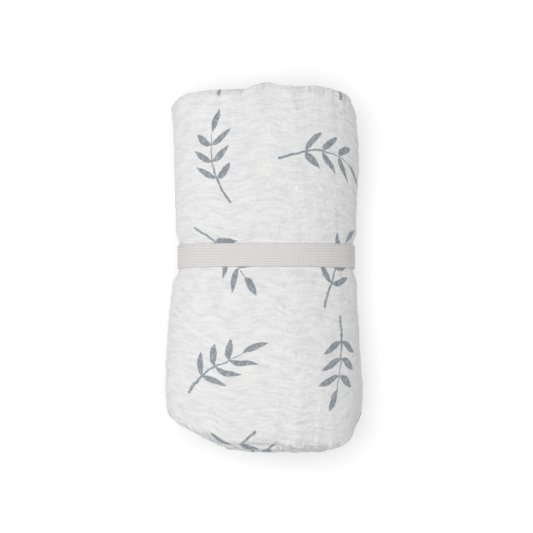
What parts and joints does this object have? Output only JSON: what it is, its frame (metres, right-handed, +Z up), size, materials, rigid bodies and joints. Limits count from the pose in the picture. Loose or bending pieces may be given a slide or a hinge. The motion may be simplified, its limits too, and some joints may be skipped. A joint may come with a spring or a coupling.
{
  "type": "rolled swaddle blanket",
  "caption": "White muslin swaddle blanket, folded to a strip, rolled into a soft flattened bolster and drawn in at its waist by a flat elastic band.",
  "frame": {"origin": "on the surface the roll rests on, under the middle of its box", "axes": "+Z up; +Y along the roll's axis, towards the end with the blanket's hems; +X across the roll"},
  "size_m": [0.1082, 0.2032, 0.0731],
  "materials": {
    "muslin": "matte crinkled cotton double gauze",
    "elastic": "matte ribbed woven elastic"
  },
  "bodies": {
    "root": {"blanket_roll": "muslin", "elastic_band": "elastic"}
  },
  "joints": []
}
